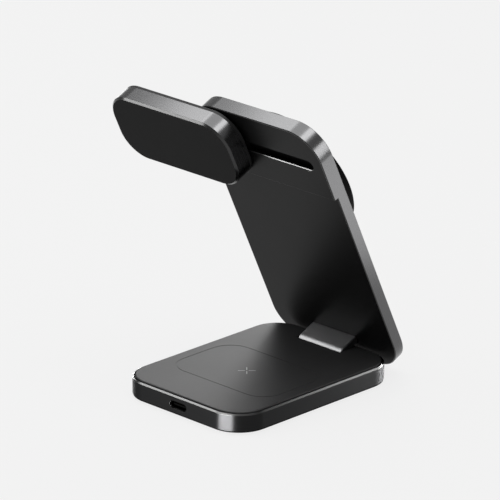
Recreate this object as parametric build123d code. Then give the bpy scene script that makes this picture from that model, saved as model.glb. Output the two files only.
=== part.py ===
"""Folding three in one wireless charger: base, leaning panel and slide-out watch module.

Millimetres. +X runs along the inlet edge of the base, +Y towards the panel's hinge and +Z up.
The origin is the centre of the base's footprint, on the surface that it stands on.
"""
import math
import os

from build123d import *

# Base housing
base_width = 68.0
base_length = 90.5
base_corner = 13.5
shell_height = 7.75
base_wall = 2.4
base_chamfer = 0.6
foot_height = 0.6
foot_sink = 0.3
cover_lip = 0.6
cover_inset = 0.3
cover_plug = 0.8
plate_thick = 1.2
plate_rise = 0.55
plate_inset = 1.25
plate_gap = 0.35
plate_round = 0.4
fit_gap = 0.1

# Earbud charging area, marked by a fine groove in the top plate
earbud_y = -6.85
earbud_width = 55.0
earbud_length = 36.8
earbud_corner = 10.0
groove_width = 0.45
groove_depth = 0.08
earbud_coil_radius = 14.5
earbud_coil_bore = 6.5
coil_thick = 1.1
ferrite_thick = 1.0
holder_floor = 1.6
holder_rim = 1.2

# Chassis plate and circuit boards
chassis_thick = 1.6
board_thick = 1.0
board_lift = 0.4
base_board_width = 40.0
base_board_length = 13.5
chip_height = 0.9
base_chip = 4.5
panel_chip = 6.5

# USB-C inlet
port_width = 9.2
port_height = 3.4
port_rise = 3.94
shell_width = 8.94
shell_tall = 3.16
shell_wall = 0.3
shell_length = 7.35
port_recess = 0.35
tongue_width = 6.69
tongue_thick = 0.7
tongue_recess = 0.6

# Screws
screw_radius = 0.9
screw_head = 1.7
screw_head_tall = 0.6
screw_gap = 0.05
boss_radius = 2.6
boss_sink = 0.5
boss_cap = 0.4

# Hinge
hinge_back = 7.0
hinge_depth = 2.55
pin_radius = 1.25
pin_gap = 0.05
press_gap = 0.02
nose_radius = 3.95
hinge_gap = 0.3
arm_width = 24.0
arm_thick = 3.2
arm_reach = 7.4
arm_round = 0.5
washer_thick = 0.5
washer_radius = 1.8
ear_thick = 2.4
ear_radius = 1.85
ear_front = 4.0
foot_length = 7.0
foot_thick = 1.4

# Panel
panel_tilt = 65.0
panel_width = 68.0
panel_length = 124.5
panel_tail = 7.75
panel_corner = 13.75
panel_thick = 5.1
panel_wall = 1.8
panel_chamfer = 0.3
head_length = 32.0
head_rise = 1.75
step_round = 0.25
cover_thick = 1.2
cover_edge = 0.5
cover_gap = 0.05
back_thick = 1.0
flange_margin = 3.0
flange_length = 20.0
flange_tail = 4.5
flange_thick = 1.4
web_reach = 19.0
window_gap = 0.25
panel_board_width = 44.0
panel_board_length = 20.0
panel_board_from_hinge = 24.0

# Phone pad on the back of the panel
disc_radius = 29.3
disc_height = 6.5
disc_from_top = 36.5
disc_wall = 1.6
disc_floor = 2.2
disc_chamfer = 0.5
face_thick = 1.2
face_recess = 0.2
phone_coil_radius = 21.5
phone_coil_bore = 9.5
phone_ferrite_radius = 22.4
magnet_inner = 23.2
magnet_outer = 26.9
magnet_tall = 2.8
magnet_count = 16
magnet_split_deg = 2.0
disc_screw_circle = 25.0
disc_screw_count = 4
disc_screw_turn = 45.0
wire_hole = 4.0

# Watch module and its slide
watch_width = 66.4
watch_height = 32.0
watch_corner = 12.2
watch_thick = 8.8
watch_chamfer = 0.85
watch_wall = 1.8
watch_gap = 0.75
watch_travel = 40.2
rear_thick = 1.4
rear_inset = 0.05
rear_round = 0.3
puck_radius = 13.8
puck_from_end = 16.8
puck_proud = 0.3
puck_sink = 2.2
puck_dish = 0.6
watch_coil_radius = 11.5
watch_coil_bore = 5.0
watch_magnet_radius = 4.0
watch_board_width = 18.0
watch_board_height = 22.0
slot_length = 56.6
slot_width = 4.6
slot_from_top = 16.25
slot_chamfer = 0.25
slot_bevel_deg = 45.0
slot_gap = 0.3
stem_bore_width = 6.0
stem_bore_height = 1.8
shoe_thick = 1.6
shoe_length = 22.0
shoe_height = 10.0
shoe_gap = 0.1
rail_height = 2.85
rail_gap = 0.15
guide_over = 0.7
guide_web = 0.8
post_radius = 1.0

# Heights in the base, worked up from the table
z_cover = foot_height
z_frame = z_cover + cover_lip
z_floor = z_frame + cover_plug
z_chassis = z_floor + chassis_thick
z_top = z_cover + shell_height
z_plate = z_top + plate_rise
z_seat = z_plate - plate_thick
z_port = z_cover + port_rise
base_front = -base_length / 2
base_back = base_length / 2

# The hinge axis, and the panel's own frame: x across, s up the panel from the hinge, f out of its front
hinge_y = base_back - hinge_back
hinge_z = z_plate - hinge_depth
tilt = math.radians(panel_tilt)
panel_front_dir = Vector(0, -math.sin(tilt), -math.cos(tilt))
panel_origin = Vector(0, hinge_y, hinge_z) - panel_front_dir * arm_reach
panel_plane = Plane(origin=panel_origin, x_dir=(1, 0, 0), z_dir=panel_front_dir)

# Stations along the panel, and depths through it
s_low = -panel_tail
s_high = panel_length - panel_tail
s_mid = (s_low + s_high) / 2
s_step = s_high - head_length
s_slot = s_high - slot_from_top
s_disc = s_high - disc_from_top
f_head = head_rise
f_inner = -cover_thick
f_head_inner = head_rise - cover_thick
f_back = -panel_thick
f_back_inner = f_back + back_thick
f_flange = f_inner - fit_gap
f_web = f_flange - flange_thick
f_disc = f_back - disc_height
f_disc_floor = f_back - disc_floor

# The watch module's place: slid out towards -X, its back a small gap in front of the panel's head
watch_x = -watch_travel
f_watch_back = f_head + watch_gap
f_rear_inner = f_watch_back + rear_thick
f_watch_face = f_watch_back + watch_thick
watch_at = Pos(watch_x, s_slot, 0)
stem_length = slot_length - watch_travel - 2 * slot_gap
stem_width = slot_width - 2 * slot_gap
stem_x = watch_travel / 2
f_shoe = f_head_inner - shoe_gap
f_shoe_back = f_shoe - shoe_thick
f_guide = f_shoe_back - rail_gap
f_guide_back = f_guide - guide_web
puck_x = puck_from_end - watch_width / 2

parts = {}


def rounded_slab(width, length, corner, low, high):
    """Flat slab with rounded corners, centred on the Z axis."""
    return Pos(0, 0, low) * extrude(RectangleRounded(width, length, corner), amount=high - low)


def block(x, y, z):
    """Box between (low, high) pairs on the three axes."""
    spans = (x, y, z)
    sizes = [high - low for low, high in spans]
    middle = [(high + low) / 2 for low, high in spans]
    return Pos(*middle) * Box(*sizes)


def rod(radius, low, high, x=0.0, y=0.0):
    """Round bar along Z."""
    bottom = (Align.CENTER, Align.CENTER, Align.MIN)
    return Pos(x, y, low) * Cylinder(radius, high - low, align=bottom)


def ring(outer, inner, low, high, x=0.0, y=0.0):
    """Flat ring or bush along Z."""
    return rod(outer, low, high, x, y) - rod(inner, low, high, x, y)


def cross_rod(radius, low, high, y, z):
    """Round bar along X."""
    middle = (low + high) / 2
    return Pos(middle, y, z) * Rot(0, 90, 0) * Cylinder(radius, high - low)


def screw(tip, seat, head_up=1):
    """Round-headed screw along Z; its head stands on the seat, away from the tip."""
    head_end = seat + head_up * screw_head_tall
    head = rod(screw_head, min(seat, head_end), max(seat, head_end))
    return head + rod(screw_radius, min(tip, seat), max(tip, seat))


def top_edges(shape):
    """Edges round the highest flat face."""
    return shape.faces().sort_by(Axis.Z)[-1].edges()


def bottom_edges(shape):
    """Edges round the lowest flat face."""
    return shape.faces().sort_by(Axis.Z)[0].edges()


def base_slab(inset, low, high):
    """Slab on the base's outline, drawn in by an even margin."""
    return rounded_slab(base_width - 2 * inset, base_length - 2 * inset, base_corner - inset, low, high)


def panel_slab(inset, low, high):
    """Slab on the panel's outline, drawn in by an even margin, in the panel's frame."""
    slab = rounded_slab(panel_width - 2 * inset, panel_length - 2 * inset, panel_corner - inset, low, high)
    return Pos(0, s_mid, 0) * slab


def panel_band(s_from, s_to):
    """Tall block across the panel between two stations, to cut a slab to length."""
    return block((-panel_width, panel_width), (s_from, s_to), (2 * f_disc, 2 * f_watch_face))


def watch_slab(inset, low, high):
    """Slab on the watch module's outline, drawn in by an even margin, centred on the module."""
    return rounded_slab(watch_width - 2 * inset, watch_height - 2 * inset, watch_corner - inset, low, high)


def put_base(name, shape):
    """Keep a piece of the base."""
    parts[name] = shape


def put_panel(name, shape):
    """Keep a piece that was drawn in the panel's frame."""
    parts[name] = panel_plane * shape


def put_watch(name, shape):
    """Keep a piece that was drawn about the watch module's centre."""
    parts[name] = panel_plane * (watch_at * shape)


# Corner bosses stand on the diagonals of the base's inner corners
inner_corner = base_corner - base_wall
boss_reach = (inner_corner - boss_radius + boss_sink) * math.sqrt(0.5)
boss_x = base_width / 2 - base_corner + boss_reach
boss_y = base_length / 2 - base_corner + boss_reach
boss_places = [Pos(sx * boss_x, sy * boss_y, 0) for sx in (-1, 1) for sy in (-1, 1)]

# Ears of the hinge brackets stand outside the arm and its washers
ear_in = arm_width / 2 + washer_thick + 2 * pin_gap
ear_out = ear_in + ear_thick
notch_half = arm_width / 2 + hinge_gap
notch_y = (hinge_y - nose_radius - hinge_gap, hinge_y + nose_radius + hinge_gap)

# Base frame: one milled aluminium band with a seat for the plate and corner bosses
frame = base_slab(0, z_frame, z_top)
frame = chamfer(top_edges(frame), base_chamfer)
frame -= base_slab(base_wall, z_frame, z_top)
frame -= base_slab(plate_inset - plate_gap, z_seat, z_top)
z_boss = z_seat - plate_gap
for place in boss_places:
    frame += place * rod(boss_radius, z_chassis, z_boss)
    frame -= place * rod(screw_radius + screw_gap, z_chassis, z_boss - boss_cap)
port_outline = Plane.XZ * Pos(0, z_port) * SlotOverall(port_width, port_height)
frame -= Pos(0, base_front + base_wall, 0) * extrude(port_outline, amount=base_wall)
put_base("base_frame", frame)

# Top plate: satin moulding with a window for the hinge arm and a groove round the earbud area
plate = base_slab(plate_inset, z_seat, z_plate)
plate = fillet(top_edges(plate), plate_round)
plate -= block((-notch_half, notch_half), notch_y, (z_seat, z_plate))
groove_low = z_plate - groove_depth
groove = rounded_slab(earbud_width, earbud_length, earbud_corner, groove_low, z_plate)
groove_core = rounded_slab(
    earbud_width - 2 * groove_width,
    earbud_length - 2 * groove_width,
    earbud_corner - groove_width,
    groove_low,
    z_plate,
)
plate -= Pos(0, earbud_y, 0) * (groove - groove_core)
ear_clear = ear_radius + fit_gap
for side in (-1, 1):
    ear_relief = sorted((side * arm_width / 2, side * (ear_out + fit_gap)))
    plate -= block(ear_relief, (hinge_y - ear_clear, hinge_y + ear_clear), (z_seat, hinge_z + ear_clear))
put_base("base_top_plate", plate)

# Bottom cover: plastic tray whose lip shows under the band, with a recess for the foot pad
foot_top = z_cover + foot_sink
bottom = base_slab(cover_inset, z_cover, z_frame) + base_slab(base_wall + fit_gap, z_frame, z_floor)
bottom -= base_slab(base_wall, z_cover, foot_top)
for place in boss_places:
    bottom -= place * rod(screw_head + fit_gap, foot_top, foot_top + screw_head_tall)
    bottom -= place * rod(screw_radius + screw_gap, foot_top, z_floor)
put_base("base_bottom_cover", bottom)

# Foot pad: soft sheet under the whole base, which hides the housing screws
put_base("base_foot_pad", base_slab(base_wall + fit_gap, 0, foot_top))

# Chassis: steel plate that weighs the base down and carries the hinge brackets
bracket_screw_x = ear_out + foot_length / 2
bracket_screw_y = hinge_y - ear_front / 2
chassis = base_slab(base_wall + fit_gap, z_floor, z_chassis)
chassis -= block((-notch_half, notch_half), notch_y, (z_floor, z_chassis))
port_clear = shell_width / 2 + hinge_gap
shell_front = base_front + port_recess
shell_back = shell_front + shell_length
chassis -= block((-port_clear, port_clear), (base_front, shell_back + hinge_gap), (z_floor, z_chassis))
for place in boss_places:
    chassis -= place * rod(screw_radius + screw_gap, z_floor, z_chassis)
for side in (-1, 1):
    chassis -= rod(screw_radius + screw_gap, z_floor, z_chassis, side * bracket_screw_x, bracket_screw_y)
base_board_front = base_front + base_wall + fit_gap
base_board_back = base_board_front + base_board_length
z_board = z_chassis + board_lift
for side in (-1, 1):
    pad_x = side * (base_board_width / 2 - boss_radius)
    chassis += rod(boss_radius, z_chassis, z_board, pad_x, base_board_back - boss_radius)
    chassis += rod(boss_radius, z_chassis, z_board, pad_x, base_board_front + boss_radius)
put_base("base_chassis", chassis)

# Housing screws, from under the foot pad through cover and chassis into the frame's bosses
housing_screw = screw(z_boss - boss_cap - fit_gap, foot_top + screw_head_tall, head_up=-1)
put_base("base_screws", Compound(children=[place * housing_screw for place in boss_places]))

# Base circuit board, notched for the receptacle, with its driver chips
board_top = z_board + board_thick
half_board = base_board_width / 2
board = block((-half_board, half_board), (base_board_front, base_board_back), (z_board, board_top))
board -= block((-port_clear, port_clear), (base_board_front, shell_back + fit_gap), (z_board, board_top))
chip_y = (base_board_front + base_board_back) / 2
for chip_x in (-half_board / 2, half_board / 2):
    board += Pos(chip_x, chip_y, board_top + chip_height / 2) * Box(base_chip, base_chip, chip_height)
put_base("base_circuit_board", board)

# USB-C receptacle: drawn steel shell, open to the front, and its contact tongue
shell_outline = SlotOverall(shell_width, shell_tall)
bore_outline = SlotOverall(shell_width - 2 * shell_wall, shell_tall - 2 * shell_wall)
to_port = Pos(0, shell_back, z_port) * Rot(90, 0, 0)
shell = to_port * extrude(shell_outline, amount=shell_length)
shell -= to_port * Pos(0, 0, shell_wall) * extrude(bore_outline, amount=shell_length)
put_base("usb_c_shell", shell)
half_tongue = tongue_width / 2
tongue_span = (shell_front + tongue_recess, shell_back - shell_wall)
tongue_z = (z_port - tongue_thick / 2, z_port + tongue_thick / 2)
put_base("usb_c_tongue", block((-half_tongue, half_tongue), tongue_span, tongue_z))

# Earbud charger: moulded holder, ferrite disc and flat wound coil under the plate
holder_top = z_chassis + holder_floor
ferrite_top = holder_top + ferrite_thick
coil_top = ferrite_top + coil_thick
ferrite_radius = earbud_coil_radius + fit_gap
holder = rod(ferrite_radius + holder_rim, z_chassis, ferrite_top, y=earbud_y)
holder -= rod(ferrite_radius + fit_gap, holder_top, ferrite_top, y=earbud_y)
put_base("earbud_coil_holder", holder)
put_base("earbud_ferrite", rod(ferrite_radius, holder_top, ferrite_top, y=earbud_y))
put_base("earbud_coil", ring(earbud_coil_radius, earbud_coil_bore, ferrite_top, coil_top, y=earbud_y))

# Hinge brackets: steel ears on feet, one each side of the arm
bracket_back = hinge_y + ear_radius
for side, name in ((-1, "left"), (1, "right")):
    ear_span = sorted((side * ear_in, side * ear_out))
    foot_span = sorted((side * ear_in, side * (ear_out + foot_length)))
    bracket = block(ear_span, (hinge_y - ear_front, bracket_back), (z_chassis, hinge_z))
    bracket += cross_rod(ear_radius, *ear_span, hinge_y, hinge_z)
    foot_back = base_back - base_wall - fit_gap
    bracket += block(foot_span, (hinge_y - ear_front, foot_back), (z_chassis, z_chassis + foot_thick))
    bracket -= cross_rod(pin_radius + press_gap, *ear_span, hinge_y, hinge_z)
    hole_x = side * bracket_screw_x
    bracket -= rod(screw_radius + screw_gap, z_chassis, z_chassis + foot_thick, hole_x, bracket_screw_y)
    put_base(f"hinge_bracket_{name}", bracket)
bracket_screw = screw(z_floor, z_chassis + foot_thick)
bracket_places = [Pos(side * bracket_screw_x, bracket_screw_y, 0) for side in (-1, 1)]
put_base("hinge_bracket_screws", Compound(children=[place * bracket_screw for place in bracket_places]))

# Hinge pin and the friction washers that hold the panel where it is set
put_base("hinge_pin", cross_rod(pin_radius, -ear_out, ear_out, hinge_y, hinge_z))
for side, name in ((-1, "left"), (1, "right")):
    inner_face = arm_width / 2 + pin_gap
    washer_span = sorted((side * inner_face, side * (inner_face + washer_thick)))
    washer = cross_rod(washer_radius, *washer_span, hinge_y, hinge_z)
    washer -= cross_rod(pin_radius + press_gap, *washer_span, hinge_y, hinge_z)
    put_base(f"friction_washer_{name}", washer)

# Hinge arm: round barrel on the pin, a blade into the panel and a flange inside it.
# Its section is drawn on the (s, f) plane and drawn out along X.
section_plane = Plane(origin=(-arm_width / 2, 0, 0), x_dir=(0, 1, 0), z_dir=(1, 0, 0))
blade_low = nose_radius - arm_thick
at_pin = Pos(0, arm_reach)
section = at_pin * Circle(nose_radius)
blade_mid = (blade_low + nose_radius) / 2
section += Pos(blade_mid, (arm_reach + f_web) / 2) * Rectangle(arm_thick, arm_reach - f_web)
section -= at_pin * Circle(pin_radius + pin_gap)
arm = extrude(section_plane * section, amount=arm_width)
arm_ends = [edge for end in arm.faces().filter_by(Axis.X) for edge in end.outer_wire().edges()]
arm = fillet([edge for edge in arm_ends if edge.center().Z > f_web + fit_gap], arm_round)
half_flange = arm_width / 2 + flange_margin
flange_low = blade_low - flange_tail
flange_high = flange_low + flange_length
arm += block((-half_flange, half_flange), (flange_low, flange_high), (f_web, f_flange))
arm_screw_s = (nose_radius + flange_high) / 2
arm_screw_x = half_flange - flange_tail
arm_places = [Pos(side * arm_screw_x, arm_screw_s, 0) for side in (-1, 1)]
f_arm_seat = f_flange - screw_head_tall
for place in arm_places:
    arm -= place * rod(screw_head + fit_gap, f_arm_seat, f_flange)
    arm -= place * rod(screw_radius + screw_gap, f_web, f_flange)
put_panel("hinge_arm", arm)
arm_screw = screw(f_back_inner + fit_gap, f_arm_seat)
put_panel("hinge_arm_screws", Compound(children=[place * arm_screw for place in arm_places]))

# Panel frame: aluminium band, deeper round the head, with a web across its tail for the hinge arm
band = panel_slab(0, f_back, 0)
band = chamfer(top_edges(band) + bottom_edges(band), panel_chamfer)
head = panel_slab(0, f_back, f_head)
head = chamfer(top_edges(head) + bottom_edges(head), panel_chamfer)
panel_frame = band + (head & panel_band(s_step, s_high))
panel_frame -= panel_slab(panel_wall, f_back, f_head)
web = panel_slab(panel_wall, f_back_inner + fit_gap, f_web)
panel_frame += web & panel_band(s_low, web_reach)
riser_back = s_step + cover_thick
low_seat = panel_slab(cover_edge, f_inner, f_head) & panel_band(s_low, riser_back + cover_gap)
head_seat = panel_slab(cover_edge, f_head_inner, f_head) & panel_band(s_step - cover_gap, s_high)
panel_frame -= low_seat + head_seat
panel_frame -= panel_slab(cover_edge, f_back, f_back_inner)
for place in arm_places:
    panel_frame -= place * rod(screw_radius + screw_gap, f_back_inner, f_web)
put_panel("panel_frame", panel_frame)

# Panel front cover: one satin moulding that steps up to the head, with the slide's slot and posts
inset = cover_edge + cover_gap
front = panel_slab(inset, f_inner, 0) & panel_band(s_low, riser_back)
front += panel_slab(inset, f_head_inner, f_head) & panel_band(s_step, s_high)
front += panel_slab(inset, f_inner, f_head) & panel_band(s_step, riser_back)
step_edge = front.edges().filter_by(Axis.X).group_by(Axis.Z)[-1].sort_by(Axis.Y)[0]
front = fillet(step_edge, step_round)
half_window = arm_width / 2 + window_gap
window_s = (blade_low - window_gap, nose_radius + window_gap)
front -= block((-half_window, half_window), window_s, (f_inner, 0))
slot = Pos(0, s_slot, f_head_inner) * extrude(SlotOverall(slot_length, slot_width), amount=cover_thick)
front -= slot
wide_slot = SlotOverall(slot_length + 2 * slot_chamfer, slot_width + 2 * slot_chamfer)
front -= Pos(0, s_slot, f_head) * extrude(wide_slot, amount=-slot_chamfer, taper=slot_bevel_deg)
rail_mid = shoe_height / 2 + rail_gap + rail_height / 2
half_guide = slot_length / 2 + guide_over
post_x = half_guide - rail_height
post_places = [Pos(sx * post_x, s_slot + sy * rail_mid, 0) for sx in (-1, 1) for sy in (-1, 1)]
for place in post_places:
    front += place * rod(post_radius, f_guide_back - fit_gap, f_head_inner)
put_panel("panel_front_cover", front)

# Slide guide: slippery plastic channel on the front cover's posts, behind the slot
guide_reach = rail_mid + rail_height / 2
guide_s = (s_slot - guide_reach, s_slot + guide_reach)
guide = block((-half_guide, half_guide), guide_s, (f_guide_back, f_head_inner - cover_gap))
channel_s = (s_slot - shoe_height / 2 - rail_gap, s_slot + shoe_height / 2 + rail_gap)
guide -= block((-half_guide, half_guide), channel_s, (f_guide, f_head_inner))
for place in post_places:
    guide -= place * rod(post_radius + cover_gap, f_guide_back, f_head_inner)
put_panel("slide_guide", guide)

# Panel back cover, with holes for the phone pad's screws and wires
disc_at = Pos(0, s_disc, 0)
pad_screw_ring = PolarLocations(disc_screw_circle, disc_screw_count, disc_screw_turn)
disc_places = [disc_at * place for place in pad_screw_ring]
back = panel_slab(cover_edge + cover_gap, f_back, f_back_inner)
back -= disc_at * rod(wire_hole, f_back, f_back_inner)
for place in disc_places:
    back -= place * rod(screw_radius + screw_gap, f_back, f_back_inner)
board_low_s = panel_board_from_hinge
board_high_s = board_low_s + panel_board_length
f_board = f_back_inner + board_lift
stand_x = panel_board_width / 2 - boss_radius
for side in (-1, 1):
    back += rod(boss_radius, f_back_inner, f_board, side * stand_x, board_low_s + boss_radius)
    back += rod(boss_radius, f_back_inner, f_board, side * stand_x, board_high_s - boss_radius)
put_panel("panel_back_cover", back)

# Panel circuit board with its charging chip
f_board_top = f_board + board_thick
board_half = panel_board_width / 2
panel_board = block((-board_half, board_half), (board_low_s, board_high_s), (f_board, f_board_top))
chip_at = Pos(0, (board_low_s + board_high_s) / 2, f_board_top + chip_height / 2)
panel_board += chip_at * Box(panel_chip, panel_chip, chip_height)
put_panel("panel_circuit_board", panel_board)

# Phone pad: round cup on the back cover, closed by a face disc
bore = disc_radius - disc_wall
cup = rod(disc_radius, f_disc, f_back)
cup = chamfer(bottom_edges(cup), disc_chamfer)
cup -= rod(bore, f_disc, f_disc_floor)
cup -= rod(wire_hole, f_disc_floor, f_back)
for place in pad_screw_ring:
    cup -= place * rod(screw_radius + screw_gap, f_disc_floor, f_back)
put_panel("phone_pad_housing", disc_at * cup)
f_face = f_disc + face_recess
f_face_inner = f_face + face_thick
put_panel("phone_pad_face", disc_at * rod(bore - cover_gap, f_face, f_face_inner))

# Phone charger: ferrite, coil and a ring of magnets under the face
f_ferrite = f_disc_floor - ferrite_thick
f_coil = f_ferrite - coil_thick
put_panel("phone_ferrite", disc_at * ring(phone_ferrite_radius, wire_hole, f_ferrite, f_disc_floor))
put_panel("phone_coil", disc_at * ring(phone_coil_radius, phone_coil_bore, f_coil, f_ferrite))
magnet_ring = ring(magnet_outer, magnet_inner, f_disc_floor - magnet_tall, f_disc_floor)
magnet_pitch = 360 / magnet_count
wedge_reach = 2 * magnet_outer
wedge_half = wedge_reach * math.tan(math.radians((magnet_pitch - magnet_split_deg) / 2))
wedge_outline = make_face(Polyline((0, 0), (wedge_reach, -wedge_half), (wedge_reach, wedge_half), (0, 0)))
wedge = Pos(0, 0, f_disc) * extrude(wedge_outline, amount=disc_height)
magnet = magnet_ring & wedge
magnets = [disc_at * Rot(0, 0, k * magnet_pitch) * magnet for k in range(magnet_count)]
put_panel("phone_magnets", Compound(children=magnets))

# Screws that hold the phone pad, driven from inside the panel
pad_screw = screw(f_disc_floor + fit_gap, f_back_inner)
put_panel("phone_pad_screws", Compound(children=[place * pad_screw for place in disc_places]))

# Watch module frame: aluminium band with a broad polished chamfer
watch_frame = watch_slab(0, f_rear_inner, f_watch_face)
watch_frame = chamfer(top_edges(watch_frame), watch_chamfer)
watch_frame -= watch_slab(watch_wall, f_rear_inner, f_watch_face)
f_face_seat = f_watch_face - cover_thick
watch_frame -= watch_slab(watch_chamfer, f_face_seat, f_watch_face)
put_watch("watch_frame", watch_frame)

# Watch module front cover, flush inside the chamfer
put_watch("watch_front_cover", watch_slab(watch_chamfer + cover_gap, f_face_seat, f_watch_face))

# Watch module rear cover, moulded with the hollow stem that runs in the panel's slot
rear = watch_slab(rear_inset, f_watch_back, f_rear_inner)
rear = fillet(bottom_edges(rear), rear_round)
rear += watch_slab(watch_wall + cover_gap, f_rear_inner, f_rear_inner + rear_round)
stem_outline = SlotOverall(stem_length, stem_width)
bore_slot = SlotOverall(stem_bore_width, stem_bore_height)
stem_foot = Pos(stem_x, 0, f_shoe)
rear += stem_foot * extrude(stem_outline, amount=f_rear_inner - f_shoe)
rear -= stem_foot * extrude(bore_slot, amount=watch_thick)
rear -= rod(puck_radius + cover_gap, f_watch_back, f_rear_inner, puck_x)
rear -= rod(puck_radius + rear_round, f_rear_inner, f_rear_inner + rear_round, puck_x)
shoe_screw_reach = (stem_length / 2 + stem_bore_width / 2) / 2
shoe_places = [Pos(stem_x + side * shoe_screw_reach, 0, 0) for side in (-1, 1)]
f_shoe_tip = f_watch_back + rear_thick / 2
for place in shoe_places:
    rear -= place * rod(screw_radius + screw_gap, f_shoe, f_shoe_tip + fit_gap)
put_watch("watch_rear_cover", rear)

# Watch puck: dished round charging face, a little proud of the rear cover
f_puck_low = f_watch_back - puck_proud
f_puck_high = f_watch_back + puck_sink
puck = rod(puck_radius, f_puck_low, f_puck_high)
puck = fillet(bottom_edges(puck), rear_round)
dish_reach = puck_radius - 2 * rear_round
dish_radius = (dish_reach**2 + puck_dish**2) / (2 * puck_dish)
puck -= Pos(0, 0, f_puck_low + puck_dish - dish_radius) * Rot(90, 0, 0) * Sphere(dish_radius)
put_watch("watch_puck", Pos(puck_x, 0, 0) * puck)

# Watch charger: coil and magnet under the puck, with a ferrite behind them
f_watch_coil = f_puck_high + coil_thick
f_watch_ferrite = f_watch_coil + ferrite_thick
watch_bore = watch_coil_bore - fit_gap
put_watch("watch_coil", ring(watch_coil_radius, watch_coil_bore, f_puck_high, f_watch_coil, puck_x))
put_watch("watch_ferrite", rod(watch_coil_radius, f_watch_coil, f_watch_ferrite, puck_x))
put_watch("watch_magnet", rod(watch_magnet_radius, f_puck_high, f_watch_coil, puck_x))

# Watch circuit board on the rear cover, beside the puck
watch_board_x = puck_x + puck_radius + fit_gap + watch_board_width / 2
f_watch_board = f_rear_inner + rear_round
watch_board_span = (watch_board_x - watch_board_width / 2, watch_board_x + watch_board_width / 2)
half_watch_board = watch_board_height / 2
watch_board = block(
    watch_board_span,
    (-half_watch_board, half_watch_board),
    (f_watch_board, f_watch_board + board_thick),
)
put_watch("watch_circuit_board", watch_board)

# Slide shoe: plate behind the slot, screwed to the stem, that holds the module on the panel
shoe_span = (stem_x - shoe_length / 2, stem_x + shoe_length / 2)
shoe = block(shoe_span, (-shoe_height / 2, shoe_height / 2), (f_shoe_back, f_shoe))
shoe -= Pos(stem_x, 0, f_shoe_back) * extrude(bore_slot, amount=shoe_thick)
f_shoe_seat = f_shoe_back + screw_head_tall
for place in shoe_places:
    shoe -= place * rod(screw_head + fit_gap, f_shoe_back, f_shoe_seat)
    shoe -= place * rod(screw_radius + screw_gap, f_shoe_back, f_shoe)
put_watch("slide_shoe", shoe)
shoe_screw = screw(f_shoe_tip, f_shoe_seat, head_up=-1)
put_watch("slide_shoe_screws", Compound(children=[place * shoe_screw for place in shoe_places]))

os.makedirs("parts", exist_ok=True)
for name, shape in parts.items():
    export_step(shape, f"parts/{name}.step")
print(len(parts), "pieces written")
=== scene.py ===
from math import cos, radians, sin

import bmesh
import bpy
from mathutils import Matrix, Vector


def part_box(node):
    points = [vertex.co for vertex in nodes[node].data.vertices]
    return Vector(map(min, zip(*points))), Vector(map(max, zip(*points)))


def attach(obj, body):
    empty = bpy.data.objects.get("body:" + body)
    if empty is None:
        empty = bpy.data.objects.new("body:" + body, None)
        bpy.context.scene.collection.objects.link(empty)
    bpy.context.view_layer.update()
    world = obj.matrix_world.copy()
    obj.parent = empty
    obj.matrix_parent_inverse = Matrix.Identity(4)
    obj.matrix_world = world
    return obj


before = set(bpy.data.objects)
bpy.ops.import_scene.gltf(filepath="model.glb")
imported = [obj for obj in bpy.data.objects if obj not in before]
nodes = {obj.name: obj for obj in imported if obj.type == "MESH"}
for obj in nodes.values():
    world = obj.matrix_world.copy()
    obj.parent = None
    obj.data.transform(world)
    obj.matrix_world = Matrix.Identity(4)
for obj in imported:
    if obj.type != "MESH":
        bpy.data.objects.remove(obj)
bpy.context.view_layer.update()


# Base frame
# The band round the base, milled from one piece of aluminium, blasted to a fine satin and anodised like the
# panel's frame. Its chamfers are cut after that, so they show as a paler line all the way round. Its metal is
# written nearly black, far darker than the frame's: painted shade for the shadowed floor that the band
# mirrors.
# painted shade: the band's metal colour is darkened to stand in for the shadow that it reflects
BAND_PAINTED_SHADE_BLACK = (0.018, 0.018, 0.0184)
BAND_CUT = (0.045, 0.045, 0.045)
BAND_ROUGHNESS = 0.35
BAND_PULL = 0.9
BAND_RIM = (0.5, 0.5, 0.5)
BAND_EDGE = 0.00008
GRAIN_PER_METRE = (60.0, 60.0, 9000.0)
GRAIN_DEPTH = 0.000004
GRAIN_STRENGTH = 0.12
GRAIN_DETAIL = 2.0
METAL_TONE = 0.1
METAL_SPREAD = 0.05
CHAMFER_SLOPES = (0.25, 0.35, 0.93, 0.98)
WELD_DISTANCE = 0.000002
FLAT_ANGLE = radians(0.2)
EDGE_ANGLE = radians(30.0)
EDGE_SEGMENTS = 2
SHARP_ANGLE = radians(28.0)


def node_kit(tree, family):
    """Short hands for a node tree: one adds a node with its settings and input values, one joins two."""
    tree.nodes.clear()

    def add(kind, values=None, **settings):
        node = tree.nodes.new(kind if "Node" in kind else family + kind)
        for name, value in settings.items():
            setattr(node, name, value)
        for socket, value in (values or {}).items():
            node.inputs[socket].default_value = value
        return node

    def join(source, output, target, socket):
        tree.links.new(source.outputs[output], target.inputs[socket])

    return add, join


def shader_kit(name):
    """A new material, and the short hands for its node tree."""
    material = bpy.data.materials.new(name)
    material.use_nodes = True
    return material, *node_kit(material.node_tree, "ShaderNode")


def shades(colour, tone):
    """A darker and a lighter shade of one colour, for the two ends of a Mix node."""
    return {end: (*[c * factor for c in colour], 1.0) for end, factor in ((1, 1.0 - tone), (2, 1.0 + tone))}


def on_slopes(add, join, axis, slopes):
    """A mask that is white on faces whose normal has a cosine with the axis between the two middle slopes."""
    shape = add("NewGeometry")
    local = add("VectorTransform", vector_type="NORMAL", convert_from="WORLD", convert_to="OBJECT")
    lean = add("VectorMath", {1: axis}, operation="DOT_PRODUCT")
    size = add("Math", operation="ABSOLUTE")
    mask = add("ValToRGB")
    ramp = mask.color_ramp.elements
    ramp[0].position, ramp[1].position = slopes[:2]
    for slope, level in zip(slopes[2:], (1.0, 0.0)):
        ramp.new(slope).color = (level, level, level, 1.0)
    join(shape, "Normal", local, "Vector")
    join(local, "Vector", lean, 0)
    join(lean, "Value", size, 0)
    join(size, "Value", mask, "Fac")
    return mask


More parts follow.
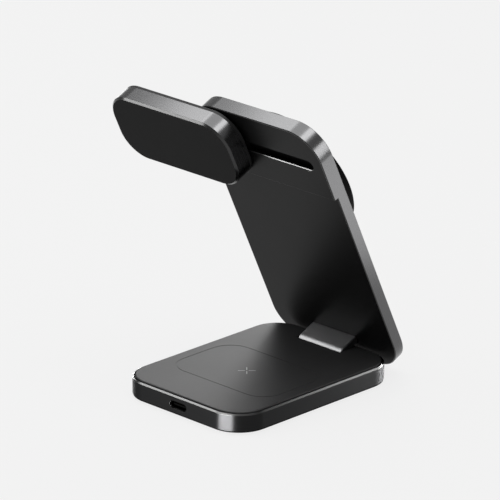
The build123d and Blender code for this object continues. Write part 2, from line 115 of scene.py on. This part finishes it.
def metal(name, colour, roughness, axis_lean=0.0, pull=0.0, cut_colour=None, rim=(1.0, 1.0, 1.0)):
    """Metal with a fine grain round an axis that leans from upright towards +Y. pull draws the highlights out
    along that axis, cut_colour is the paler metal of the chamfers, and rim dims what glances off."""
    material, add, join = shader_kit(name)
    axis = (0.0, sin(axis_lean), cos(axis_lean))
    place = add("TexCoord")
    turn = add("Mapping", {"Rotation": (axis_lean, 0.0, 0.0)})
    stretch = add("VectorMath", {1: GRAIN_PER_METRE}, operation="MULTIPLY")
    grain = add("TexNoise", {"Scale": 1.0, "Detail": GRAIN_DETAIL})
    rough = add("MapRange", {"To Min": roughness - METAL_SPREAD, "To Max": roughness + METAL_SPREAD})
    tone = add("MixRGB", shades(colour, METAL_TONE))
    bump = add("Bump", {"Distance": GRAIN_DEPTH, "Strength": GRAIN_STRENGTH})
    finish = {"Metallic": 1.0, "Anisotropic": pull, "Specular Tint": (*rim, 1.0)}
    surface = add("BsdfPrincipled", finish)
    output = add("OutputMaterial")
    join(place, "Object", turn, "Vector")
    join(turn, "Vector", stretch, 0)
    join(stretch, "Vector", grain, "Vector")
    join(grain, "Fac", rough, "Value")
    join(grain, "Fac", tone, "Fac")
    join(grain, "Fac", bump, "Height")
    join(rough, "Result", surface, "Roughness")
    join(bump, "Normal", surface, "Normal")
    join(surface, "BSDF", output, "Surface")
    if pull:
        along = add("CombineXYZ", dict(zip("XYZ", axis)))
        world = add("VectorTransform", vector_type="VECTOR", convert_from="OBJECT", convert_to="WORLD")
        join(along, "Vector", world, "Vector")
        join(world, "Vector", surface, "Tangent")
    if cut_colour is None:
        join(tone, "Color", surface, "Base Color")
    else:
        cut = add("MixRGB", {2: (*cut_colour, 1.0)})
        join(on_slopes(add, join, axis, CHAMFER_SLOPES), "Color", cut, "Fac")
        join(tone, "Color", cut, 1)
        join(cut, "Color", surface, "Base Color")
    return material


def dress(name, material, edge=0.0):
    """Gives a CAD node its material, smooth curved faces and, where edge is set, softly rounded edges."""
    piece = nodes[name]
    piece.data.materials.clear()
    piece.data.materials.append(material)
    for face in piece.data.polygons:
        face.use_smooth = True
    weld = piece.modifiers.new("weld", "WELD")
    weld.merge_threshold = WELD_DISTANCE
    flat = piece.modifiers.new("flat faces", "DECIMATE")
    flat.decimate_type = "DISSOLVE"
    flat.angle_limit = FLAT_ANGLE
    if edge:
        soft = piece.modifiers.new("soft edges", "BEVEL")
        soft.width = edge
        soft.segments = EDGE_SEGMENTS
        soft.limit_method = "ANGLE"
        soft.angle_limit = EDGE_ANGLE
    split = piece.modifiers.new("sharp edges", "EDGE_SPLIT")
    split.split_angle = SHARP_ANGLE
    normals = piece.modifiers.new("normals", "WEIGHTED_NORMAL")
    normals.keep_sharp = True


# the base band gets the darkened copy of the frames' anodised metal, as painted shade
band_painted_shade = metal("anodised aluminium darkened as painted shade", BAND_PAINTED_SHADE_BLACK, BAND_ROUGHNESS, 0.0, BAND_PULL, BAND_CUT,
                   BAND_RIM)
dress("base_frame", band_painted_shade, BAND_EDGE)


# Base chassis and its screws
# A stamped plate of zinc plated steel, which weighs the base down and carries everything in it. Four steel
# screws hold it to the band from below.
STEEL_GREY = (0.50, 0.50, 0.51)
STEEL_ROUGHNESS = 0.38

plain_steel = metal("plated steel", STEEL_GREY, STEEL_ROUGHNESS)
dress("base_chassis", plain_steel)
dress("base_screws", plain_steel)


# Circuit boards
# Glass fibre boards under green solder mask, one in the base, one in the panel and one in the watch module.
# The copper below the mask shows through it as a paler green.
MASK_GREEN = (0.015, 0.10, 0.05, 1.0)
TRACK_GREEN = (0.03, 0.17, 0.08, 1.0)
TRACKS_PER_METRE = 700.0
TRACK_RANDOMNESS = 0.7
TRACK_EDGES = (0.42, 0.46)
TRACK_DEPTH = 0.00003
MASK_ROUGHNESS = (0.3, 0.42)


def solder_mask(name):
    """Green solder mask with the tracks and pads of the copper below it."""
    material, add, join = shader_kit(name)
    place = add("TexCoord")
    layout = {"Scale": TRACKS_PER_METRE, "Randomness": TRACK_RANDOMNESS}
    cells = add("TexVoronoi", layout, distance="CHEBYCHEV")
    tracks = add("MapRange", {"From Min": TRACK_EDGES[0], "From Max": TRACK_EDGES[1]})
    rough = add("MapRange", {"To Min": MASK_ROUGHNESS[0], "To Max": MASK_ROUGHNESS[1]})
    green = add("MixRGB", {1: MASK_GREEN, 2: TRACK_GREEN})
    bump = add("Bump", {"Distance": TRACK_DEPTH})
    surface = add("BsdfPrincipled")
    output = add("OutputMaterial")
    join(place, "Object", cells, "Vector")
    join(cells, "Distance", tracks, "Value")
    join(tracks, "Result", rough, "Value")
    join(tracks, "Result", green, "Fac")
    join(tracks, "Result", bump, "Height")
    join(rough, "Result", surface, "Roughness")
    join(green, "Color", surface, "Base Color")
    join(bump, "Normal", surface, "Normal")
    join(surface, "BSDF", output, "Surface")
    return material


green_board = solder_mask("green circuit board")
for board in ("base_circuit_board", "panel_circuit_board", "watch_circuit_board"):
    dress(board, green_board)


# Charging coils
# Flat spirals of lacquered copper wire. The earbud coil lies in a moulded holder under the top plate, the
# phone coil and the watch coil lie on their ferrites behind the faces that they charge through.
PANEL_LEAN = radians(65.0)
COPPER = (0.55, 0.24, 0.11)
COPPER_TONE = 0.35
COPPER_ROUGHNESS = (0.28, 0.4)
WIRE_PITCH = 0.0004
WIRE_DEPTH = 0.0001
RINGS_PER_SCALE = 0.314159


def wound_wire(name, coil, axis_lean):
    """Lacquered copper wire, wound in rings round the middle of a coil whose axis leans towards +Y."""
    material, add, join = shader_kit(name)
    low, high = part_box(coil)
    middle = Matrix.Rotation(axis_lean, 3, "X") @ (low + high) / 2.0
    place = add("TexCoord")
    centred = add("Mapping", {"Rotation": (axis_lean, 0.0, 0.0), "Location": -middle})
    turns = add("TexWave", {"Scale": RINGS_PER_SCALE / WIRE_PITCH}, wave_type="RINGS", rings_direction="Z")
    rough = add("MapRange", {"To Min": COPPER_ROUGHNESS[1], "To Max": COPPER_ROUGHNESS[0]})
    tone = add("MixRGB", shades(COPPER, COPPER_TONE))
    bump = add("Bump", {"Distance": WIRE_DEPTH})
    surface = add("BsdfPrincipled", {"Metallic": 1.0})
    output = add("OutputMaterial")
    join(place, "Object", centred, "Vector")
    join(centred, "Vector", turns, "Vector")
    join(turns, "Fac", rough, "Value")
    join(turns, "Fac", tone, "Fac")
    join(turns, "Fac", bump, "Height")
    join(rough, "Result", surface, "Roughness")
    join(tone, "Color", surface, "Base Color")
    join(bump, "Normal", surface, "Normal")
    join(surface, "BSDF", output, "Surface")
    return material


for coil, axis_lean in (("earbud_coil", 0.0), ("phone_coil", PANEL_LEAN), ("watch_coil", PANEL_LEAN)):
    dress(coil, wound_wire("wire of " + coil, coil, axis_lean))


# Ferrites
# Dark sintered plates behind each coil, which keep its field out of the metal. They are brittle and come
# cracked into cells on a carrier film.
FERRITE_GREY = (0.05, 0.05, 0.055, 1.0)
CRACK_BLACK = (0.006, 0.006, 0.006, 1.0)
CELLS_PER_METRE = 420.0
CRACK_WIDTH = 0.05
CRACK_DEPTH = 0.00004
FERRITE_ROUGHNESS = (0.6, 0.45)


def sintered(name):
    """A dull sintered plate, cracked into cells."""
    material, add, join = shader_kit(name)
    place = add("TexCoord")
    cells = add("TexVoronoi", {"Scale": CELLS_PER_METRE}, feature="DISTANCE_TO_EDGE")
    whole = add("MapRange", {"From Max": CRACK_WIDTH})
    rough = add("MapRange", {"To Min": FERRITE_ROUGHNESS[0], "To Max": FERRITE_ROUGHNESS[1]})
    grey = add("MixRGB", {1: CRACK_BLACK, 2: FERRITE_GREY})
    bump = add("Bump", {"Distance": CRACK_DEPTH})
    surface = add("BsdfPrincipled")
    output = add("OutputMaterial")
    join(place, "Object", cells, "Vector")
    join(cells, "Distance", whole, "Value")
    join(whole, "Result", rough, "Value")
    join(whole, "Result", grey, "Fac")
    join(whole, "Result", bump, "Height")
    join(rough, "Result", surface, "Roughness")
    join(grey, "Color", surface, "Base Color")
    join(bump, "Normal", surface, "Normal")
    join(surface, "BSDF", output, "Surface")
    return material


dark_ferrite = sintered("cracked ferrite")
for ferrite in ("earbud_ferrite", "phone_ferrite", "watch_ferrite"):
    dress(ferrite, dark_ferrite)


# Coil holder
# A moulded ring of black plastic that carries the earbud coil and its ferrite up against the top plate.
# It stands on the chassis.
TRAY_BLACK = (0.003, 0.003, 0.0031)
TRAY_GLOSS = 0.06
TRAY_ROUGHNESS = 0.55
TRAY_SPREAD = 0.06
TRAY_GRAIN = 0.00025
TRAY_DEPTH = 0.00001
WEAR_PER_METRE = 60.0
WEAR_DETAIL = 4.0
SKIN_TONE = 0.25
SKIN_STRENGTH = 0.6
SKIN_DETAIL = 3.0


def moulded(name, colour, gloss, roughness, spread, grain, depth, cut_slopes=None, cut_colour=None):
    """A moulded plastic or rubber skin: grain is the size of its bumps in metres, depth their height. Where
    cut_slopes is set, faces on those slopes of the panel are metal of the cut_colour."""
    material, add, join = shader_kit(name)
    place = add("TexCoord")
    skin = add("TexNoise", {"Scale": 1.0 / grain, "Detail": SKIN_DETAIL})
    wear = add("TexNoise", {"Scale": WEAR_PER_METRE, "Detail": WEAR_DETAIL})
    rough = add("MapRange", {"To Min": roughness - spread, "To Max": roughness + spread})
    tone = add("MixRGB", shades(colour, SKIN_TONE))
    bump = add("Bump", {"Distance": depth, "Strength": SKIN_STRENGTH})
    surface = add("BsdfPrincipled", {"Specular IOR Level": gloss})
    output = add("OutputMaterial")
    join(place, "Object", skin, "Vector")
    join(place, "Object", wear, "Vector")
    join(wear, "Fac", rough, "Value")
    join(skin, "Fac", tone, "Fac")
    join(skin, "Fac", bump, "Height")
    join(rough, "Result", surface, "Roughness")
    join(bump, "Normal", surface, "Normal")
    join(surface, "BSDF", output, "Surface")
    if cut_slopes is None:
        join(tone, "Color", surface, "Base Color")
    else:
        bare = on_slopes(add, join, (0.0, sin(PANEL_LEAN), cos(PANEL_LEAN)), cut_slopes)
        cut = add("MixRGB", {2: (*cut_colour, 1.0)})
        join(bare, "Color", cut, "Fac")
        join(tone, "Color", cut, 1)
        join(cut, "Color", surface, "Base Color")
        join(bare, "Color", surface, "Metallic")
    return material


tray_black = moulded("black plastic", TRAY_BLACK, TRAY_GLOSS, TRAY_ROUGHNESS, TRAY_SPREAD, TRAY_GRAIN,
                     TRAY_DEPTH)
dress("earbud_coil_holder", tray_black)


# Power inlet
# A receptacle on the base board: a drawn shell in black nickel, open to the front, and a plastic tongue.
# It takes the cord's plug.
NICKEL_BLACK = (0.008, 0.008, 0.008)
NICKEL_ROUGHNESS = 0.4

black_nickel = metal("black nickel", NICKEL_BLACK, NICKEL_ROUGHNESS)
dress("usb_c_shell", black_nickel)
dress("usb_c_tongue", tray_black)


# Inlet contacts
# Twelve gilded springs on each side of the inlet's tongue, stamped as one comb and moulded in, so that half
# of their thickness stands proud.
CONTACT_COUNT = 12
CONTACT_PITCH = 0.0005
CONTACT_LENGTH = 0.0032
CONTACT_WIDTH = 0.00025
CONTACT_THICK = 0.00004
CONTACT_SETBACK = 0.0006
GOLD = (0.55, 0.36, 0.11)
GOLD_ROUGHNESS = 0.3
STRIP_ROUND = 0.45
STRIP_STEPS = 3


def strips_tree(name, sizes, material, lay_points):
    """A geometry tree with an input for each size: a flat strip with rounded ends, closed all round, on each
    point that lay_points gives."""
    tree = bpy.data.node_groups.new(name, "GeometryNodeTree")
    tree.interface.new_socket("Geometry", in_out="OUTPUT", socket_type="NodeSocketGeometry")
    kinds = {int: "NodeSocketInt", float: "NodeSocketFloat", tuple: "NodeSocketVector"}
    for size, value in sizes.items():
        tree.interface.new_socket(size, in_out="INPUT", socket_type=kinds[type(value)])
    add, join = node_kit(tree, "GeometryNode")
    given = add("NodeGroupInput")
    outline = add("CurvePrimitiveQuadrilateral")
    ends = add("FilletCurve", {"Count": STRIP_STEPS}, mode="POLY")
    face = add("FillCurve", mode="NGONS")
    raised = add("ExtrudeMesh", {"Individual": False})
    under = add("FlipFaces")
    both = add("JoinGeometry")
    strip = add("MergeByDistance", {"Distance": WELD_DISTANCE})
    copies = add("InstanceOnPoints")
    placed = add("Transform")
    real = add("RealizeInstances")
    finished = add("SetMaterial", {"Material": material})
    end = add("NodeGroupOutput")
    join(given, "Strip length", outline, "Width")
    join(given, "Strip width", outline, "Height")
    join(outline, "Curve", ends, "Curve")
    join(given, "End radius", ends, "Radius")
    join(ends, "Curve", face, "Curve")
    join(face, "Mesh", raised, "Mesh")
    join(given, "Thickness", raised, "Offset Scale")
    join(face, "Mesh", under, "Mesh")
    join(raised, "Mesh", both, "Geometry")
    join(under, "Mesh", both, "Geometry")
    join(both, "Geometry", strip, "Geometry")
    join(strip, "Geometry", copies, "Instance")
    lay_points(add, join, given, copies)
    join(copies, "Instances", placed, "Geometry")
    join(given, "Centre", placed, "Translation")
    join(given, "Turn", placed, "Rotation")
    join(placed, "Geometry", real, "Geometry")
    join(real, "Geometry", finished, "Geometry")
    join(finished, "Geometry", end, "Geometry")
    return tree


def made_by(tree, name, sizes):
    """The plain mesh that a geometry tree makes at these sizes, as an object of its own."""
    maker = bpy.data.objects.new(name, bpy.data.meshes.new(name))
    bpy.context.scene.collection.objects.link(maker)
    modifier = maker.modifiers.new(name, "NODES")
    modifier.node_group = tree
    for socket in tree.interface.items_tree:
        if socket.in_out == "INPUT":
            modifier[socket.identifier] = sizes[socket.name]
    mesh = bpy.data.meshes.new_from_object(maker.evaluated_get(bpy.context.evaluated_depsgraph_get()))
    maker.modifiers.remove(modifier)
    maker.data = mesh
    return maker


def in_two_rows(add, join, given, copies):
    """Points in two rows, one above the other, with the strips along Y."""
    rows = add("MeshGrid", {"Vertices Y": 2})
    upright = add("Transform", {"Rotation": (radians(90.0), 0.0, 0.0)})
    copies.inputs["Rotation"].default_value = (0.0, 0.0, radians(90.0))
    join(given, "Strips", rows, "Vertices X")
    join(given, "Row length", rows, "Size X")
    join(given, "Row gap", rows, "Size Y")
    join(rows, "Mesh", upright, "Geometry")
    join(upright, "Geometry", copies, "Points")


tongue_low, tongue_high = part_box("usb_c_tongue")
contact_sizes = {
    "Strips": CONTACT_COUNT,
    "Row length": CONTACT_PITCH * (CONTACT_COUNT - 1),
    "Row gap": tongue_high.z - tongue_low.z,
    "Strip length": CONTACT_LENGTH,
    "Strip width": CONTACT_WIDTH,
    "End radius": CONTACT_WIDTH * STRIP_ROUND,
    "Thickness": CONTACT_THICK,
    "Centre": (
        0.0,
        tongue_low.y + CONTACT_SETBACK + CONTACT_LENGTH / 2.0,
        (tongue_low.z + tongue_high.z - CONTACT_THICK) / 2.0,
    ),
    "Turn": (0.0, 0.0, 0.0),
}
gilded = metal("gilded contact", GOLD, GOLD_ROUGHNESS)
comb = strips_tree("contact comb", contact_sizes, gilded, in_two_rows)
contacts = made_by(comb, "inlet_contacts", contact_sizes)
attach(contacts, "base")


# Hinge brackets, pin and washers
# Two steel brackets are screwed to the chassis. A steel pin runs through them and the barrel of the arm, and
# blackened steel washers between them give the friction that holds the panel where it is put.
for piece in ("hinge_bracket_left", "hinge_bracket_right", "hinge_bracket_screws", "hinge_pin"):
    dress(piece, plain_steel)
dress("friction_washer_left", black_nickel)
dress("friction_washer_right", black_nickel)


# Top plate
# The lid of the base, moulded in black plastic with a fine satin skin and a faint groove round the place for
# an earbud case. It drops into the band and leaves a thin dark gap there.
PLATE_BLACK = (0.026, 0.026, 0.0265)
PLATE_GLOSS = 0.5
PLATE_ROUGHNESS = 0.42
SATIN_SPREAD = 0.03
SATIN_GRAIN = 0.0002
SATIN_DEPTH = 0.000004

satin_lid = moulded("satin black lid", PLATE_BLACK, PLATE_GLOSS, PLATE_ROUGHNESS, SATIN_SPREAD, SATIN_GRAIN,
                    SATIN_DEPTH)
dress("base_top_plate", satin_lid)


# Placement mark
# Four fine strokes in pale grey ink, pad printed in the middle of the earbud place to show where the case
# goes. They point at the corners of the plate.
MARK_MIDDLE = (0.0, -0.00685)
MARK_STROKES = 4
MARK_INNER = 0.0007
MARK_OUTER = 0.0036
MARK_WIDTH = 0.00042
MARK_THICK = 0.00003
MARK_TURN = radians(45.0)
INK_GREY = (0.42, 0.42, 0.42)
INK_GLOSS = 0.3
INK_ROUGHNESS = 0.55
INK_GRAIN = 0.0001
INK_DEPTH = 0.000002


def in_a_ring(add, join, given, copies):
    """Points on a ring, with the strips along its radii."""
    ring = add("MeshCircle")
    spot = add("InputPosition")
    outwards = add("FunctionNodeAlignRotationToVector", axis="X")
    join(given, "Strips", ring, "Vertices")
    join(given, "Ring radius", ring, "Radius")
    join(spot, "Position", outwards, "Vector")
    join(outwards, "Rotation", copies, "Rotation")
    join(ring, "Mesh", copies, "Points")


mark_sizes = {
    "Strips": MARK_STROKES,
    "Ring radius": (MARK_INNER + MARK_OUTER) / 2.0,
    "Strip length": MARK_OUTER - MARK_INNER,
    "Strip width": MARK_WIDTH,
    "End radius": MARK_WIDTH * STRIP_ROUND,
    "Thickness": MARK_THICK,
    "Centre": (*MARK_MIDDLE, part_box("base_top_plate")[1].z - MARK_THICK / 2.0),
    "Turn": (0.0, 0.0, MARK_TURN),
}
grey_ink = moulded("grey ink", INK_GREY, INK_GLOSS, INK_ROUGHNESS, SATIN_SPREAD, INK_GRAIN, INK_DEPTH)
strokes = strips_tree("printed strokes", mark_sizes, grey_ink, in_a_ring)
mark = made_by(strokes, "placement_mark", mark_sizes)
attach(mark, "base")


# Bottom cover
# The black plastic tray that closes the base from below. Its lip shows as a dark line under the band.
# The base's screws pass through it and the chassis into the band.
dress("base_bottom_cover", tray_black)


# Foot pad
# A sheet of black silicone rubber, moulded with a pebbled skin and stuck over the screws of the bottom cover.
# It keeps the charger from sliding when the panel is pushed.
RUBBER_BLACK = (0.002, 0.002, 0.002)
RUBBER_GLOSS = 0.05
RUBBER_ROUGHNESS = 0.75
RUBBER_SPREAD = 0.08
RUBBER_GRAIN = 0.0005
RUBBER_DEPTH = 0.00004

rubber = moulded("silicone rubber", RUBBER_BLACK, RUBBER_GLOSS, RUBBER_ROUGHNESS, RUBBER_SPREAD, RUBBER_GRAIN,
                 RUBBER_DEPTH)
dress("base_foot_pad", rubber)


# Hinge arm and its screws
# A short tongue of aluminium with a rounded nose, which carries the panel on the hinge pin. It is blasted and
# anodised grey, and two screws hold its flange to the panel's frame.
ARM_GREY = (0.14, 0.14, 0.142)
ARM_ROUGHNESS = 0.42

arm_grey = metal("grey blasted aluminium", ARM_GREY, ARM_ROUGHNESS)
dress("hinge_arm", arm_grey)
dress("hinge_arm_screws", plain_steel)


# Panel frame
# The band round the panel, milled in one piece with the thicker head that the watch module slides in.
# It has the base band's satin finish and the metal's own anodised grey; the base band's is darkened as
# painted shade.
FRAME_GREY = (0.125, 0.125, 0.127)
FRAME_CUT = (0.05, 0.05, 0.05)
FRAME_ROUGHNESS = 0.26
FRAME_PULL = 0.6
FRAME_EDGE = 0.00006

frame_grey = metal("grey anodised aluminium", FRAME_GREY, FRAME_ROUGHNESS, PANEL_LEAN, FRAME_PULL, FRAME_CUT)
dress("panel_frame", frame_grey, FRAME_EDGE)


# Panel front cover
# Moulded in black plastic with a fine satin skin, and with the slot for the watch module. The chamfers of the
# slot and of the step below the head are foiled in dark silver.
COVER_BLACK = (0.003, 0.003, 0.0031)
COVER_GLOSS = 0.1
COVER_ROUGHNESS = 0.36
COVER_FOIL = (0.2, 0.2, 0.2)
COVER_SLOPES = (0.3, 0.4, 0.85, 0.95)

foiled_cover = moulded("satin black cover with foiled edges", COVER_BLACK, COVER_GLOSS, COVER_ROUGHNESS,
                       SATIN_SPREAD, SATIN_GRAIN, SATIN_DEPTH, COVER_SLOPES, COVER_FOIL)
dress("panel_front_cover", foiled_cover)


# Slide guide
# An acetal rail behind the slot, with a groove that the watch module's shoe runs in.
# It sits on posts on the inside of the front cover.
ACETAL_BLACK = (0.006, 0.006, 0.006)
ACETAL_GLOSS = 0.15
ACETAL_ROUGHNESS = 0.45

acetal = moulded("black acetal", ACETAL_BLACK, ACETAL_GLOSS, ACETAL_ROUGHNESS, TRAY_SPREAD, TRAY_GRAIN,
                 TRAY_DEPTH)
dress("slide_guide", acetal)


# Magnets
# A ring of plated magnets round the phone coil, which pulls the phone into place, and one small magnet in the
# middle of the watch puck.
PLATING_GREY = (0.7, 0.7, 0.7)
PLATING_ROUGHNESS = 0.2

plating = metal("nickel plating", PLATING_GREY, PLATING_ROUGHNESS)
dress("phone_magnets", plating)
dress("watch_magnet", plating)


# Panel back cover
# The black plastic sheet that closes the panel on the phone's side, moulded with a satin skin. The round pad
# is screwed on it, and the pad's wires pass through it.
BACK_BLACK = (0.018, 0.018, 0.0185)
BACK_GLOSS = 0.3
BACK_ROUGHNESS = 0.4

satin_cover = moulded("satin black cover", BACK_BLACK, BACK_GLOSS, BACK_ROUGHNESS, SATIN_SPREAD, SATIN_GRAIN,
                      SATIN_DEPTH)
dress("panel_back_cover", satin_cover)


# Phone pad
# The round pad that the phone snaps to: a deep plastic cup with the coil and the magnets in it, and a face of
# soft silicone. Screws hold the cup to the panel from inside.
SILICONE_BLACK = (0.03, 0.03, 0.0305)
SILICONE_GLOSS = 0.25
SILICONE_ROUGHNESS = 0.6
SILICONE_GRAIN = 0.0003
SILICONE_DEPTH = 0.00001

soft_silicone = moulded("soft silicone", SILICONE_BLACK, SILICONE_GLOSS, SILICONE_ROUGHNESS, SATIN_SPREAD,
                        SILICONE_GRAIN, SILICONE_DEPTH)
dress("phone_pad_housing", tray_black)
dress("phone_pad_face", soft_silicone)
dress("phone_pad_screws", plain_steel)


# Watch module frame
# The band round the watch module, made and finished like the panel's frame.
# The module's two covers close it from the front and the rear.
dress("watch_frame", frame_grey, FRAME_EDGE)


# Watch module covers
# Two moulded sheets, glued into the band. The front one has a fine matte skin.
# The rear one carries the puck and is satin.
FACE_BLACK = (0.008, 0.008, 0.008)
FACE_GLOSS = 0.05
FACE_ROUGHNESS = 0.5
FACE_DEPTH = 0.000006

matte_face = moulded("matte black face", FACE_BLACK, FACE_GLOSS, FACE_ROUGHNESS, SATIN_SPREAD, SATIN_GRAIN,
                     FACE_DEPTH)
dress("watch_front_cover", matte_face)
dress("watch_rear_cover", satin_cover)


# Watch puck
# The round pad that the watch lies on, dished to fit the back of a watch.
# It is moulded in smooth black plastic over its coil and magnet.
PUCK_BLACK = (0.012, 0.012, 0.0125)
PUCK_GLOSS = 0.5
PUCK_ROUGHNESS = 0.25

puck_black = moulded("smooth black puck", PUCK_BLACK, PUCK_GLOSS, PUCK_ROUGHNESS, SATIN_SPREAD, SATIN_GRAIN,
                     SATIN_DEPTH)
dress("watch_puck", puck_black)


# Slide shoe and its screws
# The acetal foot of the watch module. Its stem passes through the panel's slot, its wide part runs in the
# guide behind, and two screws hold it to the module.
dress("slide_shoe", acetal)
dress("slide_shoe_screws", plain_steel)


# Studio floor
# A plain pale sweep under the charger. Seen directly or in a reflection, it is an even pale grey,
# and the charger's soft shadow stays on it.
FLOOR_HALF = 4.0
FLOOR_DROP = 0.0002
FLOOR_GREY = (0.8, 0.8, 0.8, 1.0)
FLOOR_SEEN = (0.9, 0.9, 0.9, 1.0)
FLOOR_SEEN_SHARE = 0.9

pale_floor, add, join = shader_kit("pale floor")
matt = add("BsdfDiffuse", {"Color": FLOOR_GREY})
glow = add("Emission", {"Color": FLOOR_SEEN})
ray = add("LightPath")
direct = add("Math", operation="ADD")
seen = add("Math", operation="ADD", use_clamp=True)
share = add("Math", {1: FLOOR_SEEN_SHARE}, operation="MULTIPLY")
sweep = add("MixShader")
output = add("OutputMaterial")
join(ray, "Is Camera Ray", direct, 0)
join(ray, "Is Glossy Ray", direct, 1)
join(direct, "Value", seen, 0)
join(ray, "Is Transmission Ray", seen, 1)
join(seen, "Value", share, 0)
join(share, "Value", sweep, "Fac")
join(matt, "BSDF", sweep, 1)
join(glow, "Emission", sweep, 2)
join(sweep, "Shader", output, "Surface")
floor_mesh = bpy.data.meshes.new("floor")
sheet = bmesh.new()
bmesh.ops.create_grid(sheet, x_segments=1, y_segments=1, size=FLOOR_HALF)
bmesh.ops.translate(sheet, verts=sheet.verts, vec=(0.0, 0.0, -FLOOR_DROP))
sheet.to_mesh(floor_mesh)
sheet.free()
floor_mesh.materials.append(pale_floor)
floor = bpy.data.objects.new("floor", floor_mesh)
bpy.context.scene.collection.objects.link(floor)


# Softboxes
# Plain white area lamps round the charger, all aimed at a point above its middle. Each row has a name, the
# direction in degrees from +X and above the floor, the distance, the width and height, and the power.
AIM = Vector((0.0, 0.0, 0.05))
SOFTBOXES = (
    ("overhead", 180.0, 83.5, 0.95, 1.0, 1.4, 7.4),
    ("left front", -152.0, 38.0, 1.0, 0.4, 0.3, 1.3),
    ("left", 136.0, 24.0, 1.0, 0.5, 0.5, 0.7),
)
UP = Vector((0.0, 0.0, 1.0))


def area_lamp(name, aim, azimuth, height, distance, width, tall, watts, pieces=()):
    """A rectangular lamp that faces the point it is aimed at, for the whole set or for some pieces alone.
    Angles are in degrees."""
    lamp = bpy.data.lights.new(name, "AREA")
    lamp.shape = "RECTANGLE"
    lamp.size, lamp.size_y = width, tall
    lamp.energy = watts
    lit = bpy.data.objects.new(name, lamp)
    turn, rise = radians(azimuth), radians(height)
    back = Vector((cos(turn) * cos(rise), sin(turn) * cos(rise), sin(rise)))
    side = UP.cross(back).normalized()
    lit.matrix_world = Matrix((side, back.cross(side), back)).transposed().to_4x4()
    lit.matrix_world.translation = aim + back * distance
    lit.visible_camera = False
    bpy.context.scene.collection.objects.link(lit)
    if pieces:
        group = bpy.data.collections.new(name)
        for piece in pieces:
            group.objects.link(nodes[piece])
        lit.light_linking.receiver_collection = group


for name, *setting in SOFTBOXES:
    area_lamp(name, AIM, *setting)


# Accent lamps
# Small lamps that each draw one highlight along an edge, and are flagged off from the other pieces. Each row
# has a name, the point that it is aimed at, then the same columns as above, and the pieces that it lights.
ACCENTS = (
    ("front corner", (0.0205, -0.03175, 0.006), -90.0, 5.0, 0.35, 0.30, 0.05, 20.0, ("base_frame",)),
    ("right end", (0.0205, 0.03175, 0.006), 90.0, 5.0, 0.35, 0.36, 0.07, 20.0, ("base_frame",)),
    ("left end", (-0.0205, -0.03175, 0.006), 158.0, 3.0, 0.35, 0.42, 0.03, 5.0, ("base_frame",)),
    ("right side", (0.034, 0.02, 0.006), 55.0, 8.0, 0.3, 0.10, 0.08, 1.0, ("base_frame",)),
    ("front chamfer", (0.0, 0.0, 0.012), -152.0, 40.0, 1.0, 0.4, 0.3, 8.0, ("base_frame",)),
    ("right chamfer", (0.034, 0.032, 0.012), 63.0, 41.0, 0.12, 0.06, 0.06, 0.12, ("base_frame",)),
    ("plate sheen", (0.0, 0.0, 0.009), 122.0, 22.0, 1.0, 0.3, 0.5, 2.15, ("base_top_plate",)),
    ("arm nose", (0.0, 0.03, 0.006), -146.0, 37.0, 0.4, 0.2, 0.2, 0.9, ("hinge_arm",)),
    ("panel rim", (0.034, 0.01, 0.034), 45.0, 0.0, 0.15, 0.06, 0.06, 0.02, ("panel_frame",)),
    ("panel edge", (0.028, -0.005, 0.117), 166.0, 47.0, 0.15, 0.05, 0.05, 0.02, ("panel_frame",)),
    ("watch edge", (-0.014, -0.025, 0.112), 166.0, 47.0, 0.16, 0.07, 0.05, 0.032, ("watch_frame",)),
    ("watch end", (-0.065, -0.025, 0.1), 146.0, -4.0, 0.3, 0.14, 0.10, 0.06, ("watch_frame",)),
    ("upper corners", (0.0, 0.0, 0.11), 13.0, 70.0, 0.6, 0.4, 0.2, 0.9, ("panel_frame", "watch_frame")),
    ("panel corner", (0.0, 0.0, 0.05), 23.0, 15.0, 0.9, 0.24, 0.5, 2.4, ("panel_frame",)),
    ("slot line", (0.0, 0.0, 0.05), -132.0, 12.0, 1.0, 0.4, 0.2, 2.6, ("panel_front_cover",)),
    ("watch line", (0.0, 0.0, 0.05), -132.0, 12.0, 1.0, 0.4, 0.2, 3.2, ("watch_frame",)),
)

for name, aim, *setting in ACCENTS:
    area_lamp(name, Vector(aim), *setting)


# Room light
# An even white surround that fills the shadows.
# It stands for the white walls of the studio.
ROOM_STRENGTH = 0.4

room = bpy.data.worlds.new("room")
room.use_nodes = True
room.node_tree.nodes["Background"].inputs["Color"].default_value = (1.0, 1.0, 1.0, 1.0)
room.node_tree.nodes["Background"].inputs["Strength"].default_value = ROOM_STRENGTH
bpy.context.scene.world = room


# Camera
# A long lens from the front right and above, so that the charger's straight edges stay almost parallel.
# It stands where the photograph was taken from.
CAMERA_PLACE = (1.254084, -1.273385, 0.710122)
CAMERA_YAW, CAMERA_PITCH, CAMERA_ROLL = -0.7797, 0.3498, 0.0029
CAMERA_LENS = 345.6
CAMERA_SENSOR = 36.0
CAMERA_SHIFT = (-0.001, 0.001)
CAMERA_REACH = 20.0

look = Vector((sin(CAMERA_YAW) * cos(CAMERA_PITCH), cos(CAMERA_YAW) * cos(CAMERA_PITCH), -sin(CAMERA_PITCH)))
level = Vector((cos(CAMERA_YAW), -sin(CAMERA_YAW), 0.0))
upright = level.cross(look)
across = level * cos(CAMERA_ROLL) + upright * sin(CAMERA_ROLL)
lens = bpy.data.cameras.new("camera")
lens.lens = CAMERA_LENS
lens.sensor_width = CAMERA_SENSOR
lens.clip_end = CAMERA_REACH
lens.shift_x, lens.shift_y = CAMERA_SHIFT
camera = bpy.data.objects.new("camera", lens)
camera.matrix_world = Matrix((across, across.cross(look), -look)).transposed().to_4x4()
camera.matrix_world.translation = CAMERA_PLACE
bpy.context.scene.collection.objects.link(camera)
bpy.context.scene.camera = camera
bpy.context.scene.view_settings.view_transform = "Standard"
